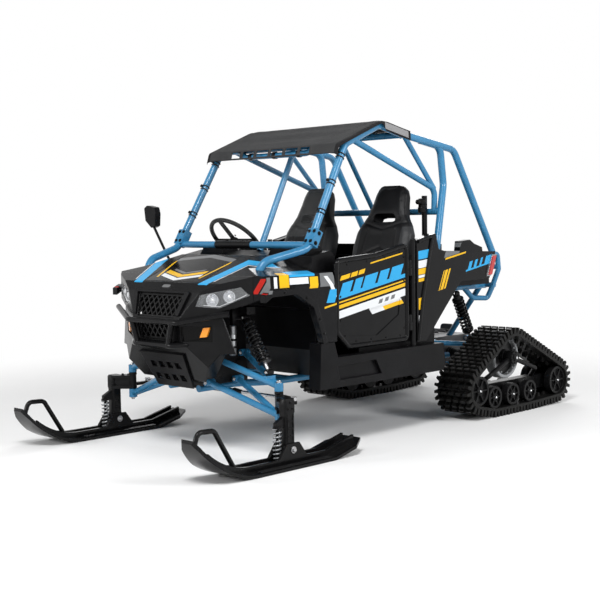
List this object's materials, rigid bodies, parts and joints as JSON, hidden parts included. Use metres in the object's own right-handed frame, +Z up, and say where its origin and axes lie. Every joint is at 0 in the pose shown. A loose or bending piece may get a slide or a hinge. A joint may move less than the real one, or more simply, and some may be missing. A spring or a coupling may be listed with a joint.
{
  "type": "tracked utility terrain vehicle",
  "caption": "Side-by-side utility terrain vehicle on steerable front skis and triangular rubber rear tracks, with roll cage, soft roof, seats, doors and cargo bed.",
  "frame": {"origin": "on the ground, at the middle of the overall length and width", "axes": "+X forward, +Y to the vehicle's left, +Z up"},
  "size_m": [3.3743, 1.69, 1.8282],
  "materials": {
    "frame_blue": "gloss sky-blue powder coat",
    "black_steel": "satin black powder coat",
    "gloss_body": "gloss black moulding with striped decals",
    "matte_body": "grained charcoal moulding",
    "rubber": "matte rubber",
    "ski_plastic": "smooth low-friction plastic",
    "spring": "black coils",
    "lamp": "clear lens",
    "amber": "amber lens",
    "red": "red lens",
    "fabric": "coated canvas",
    "seat": "vinyl with grey bolsters",
    "steel": "bare metal",
    "alloy": "cast",
    "clear": "clear polycarbonate"
  },
  "bodies": {
    "chassis": {"bash_plate": "matte_body", "belt_posts": "black_steel", "cabin_tub": "matte_body", "cage_centre_posts": "frame_blue", "cage_cross_bars": "frame_blue", "cage_sides": "frame_blue", "cargo_bed": "matte_body", "cowl": "matte_body", "dashboard": "matte_body", "door_posts": "black_steel", "engine_block": "alloy", "frame_rails": "frame_blue", "frame_tubes": "frame_blue", "front_arms": "frame_blue", "front_bulkhead": "black_steel", "front_bumper": "black_steel", "front_fascia": "matte_body", "front_fenders": "gloss_body", "front_shocks": "spring", "grille": "black_steel", "half_shafts": "steel", "headlamps": "lamp", "marker_lamps": "amber", "mirror": "matte_body", "rear_arms": "frame_blue", "rear_gearbox": "alloy", "rear_guard": "frame_blue", "rear_quarters": "gloss_body", "rear_shocks": "spring", "rear_uprights": "alloy", "rockers": "matte_body", "roof_top": "fabric", "seat_backs": "seat", "seat_cushions": "seat", "steering_column": "black_steel", "steering_rack": "alloy", "tail_lamps": "red", "track_belts": "rubber", "track_frames": "black_steel", "track_sprockets": "alloy", "track_wheels": "matte_body", "windshield": "clear"},
    "steering_wheel": {"steering_wheel": "rubber"},
    "tie_rods": {"tie_rods": "steel"},
    "ski_left": {"ski_left": "ski_plastic", "ski_spindle_left": "black_steel", "ski_spring_left": "rubber"},
    "ski_right": {"ski_right": "ski_plastic", "ski_spindle_right": "black_steel", "ski_spring_right": "rubber"},
    "door_left": {"door_frame_left": "black_steel", "door_panel_left": "gloss_body"},
    "door_right": {"door_frame_right": "black_steel", "door_panel_right": "gloss_body"},
    "hood": {"hood": "gloss_body"}
  },
  "joints": [
    {"name": "steering", "type": "hinge", "parent": "chassis", "child": "steering_wheel", "pos_m": [0.385, -0.31, 1.134], "axis": [-0.7071, 0, 0.7071], "range_deg": [-270, 270]},
    {"name": "rack", "type": "slide", "parent": "chassis", "child": "tie_rods", "axis": [0, -1, 0], "range_m": [-0.0551, 0.0551]},
    {"name": "ski_steer_left", "type": "hinge", "parent": "chassis", "child": "ski_left", "pos_m": [0.95, 0.62, 0.31], "axis": [0, 0, 1], "range_deg": [-30.05, 30.05]},
    {"name": "ski_steer_right", "type": "hinge", "parent": "chassis", "child": "ski_right", "pos_m": [0.95, -0.62, 0.31], "axis": [0, 0, 1], "range_deg": [-30.05, 30.05]},
    {"name": "door_left", "type": "hinge", "parent": "chassis", "child": "door_left", "pos_m": [-0.15, 0.6, 0.8], "axis": [0, 0, 1], "range_deg": [0, 75]},
    {"name": "door_right", "type": "hinge", "parent": "chassis", "child": "door_right", "pos_m": [-0.15, -0.6, 0.8], "axis": [0, 0, -1], "range_deg": [0, 75]},
    {"name": "hood", "type": "hinge", "parent": "chassis", "child": "hood", "pos_m": [1.13, 0, 0.919], "axis": [0, 1, 0], "range_deg": [0, 65]}
  ],
  "couplings": [
    {"joint": "rack", "follows": "steering", "m_per_rad": 0.011671},
    {"joint": "ski_steer_left", "follows": "steering", "ratio": 0.11111},
    {"joint": "ski_steer_right", "follows": "steering", "ratio": 0.11111}
  ]
}
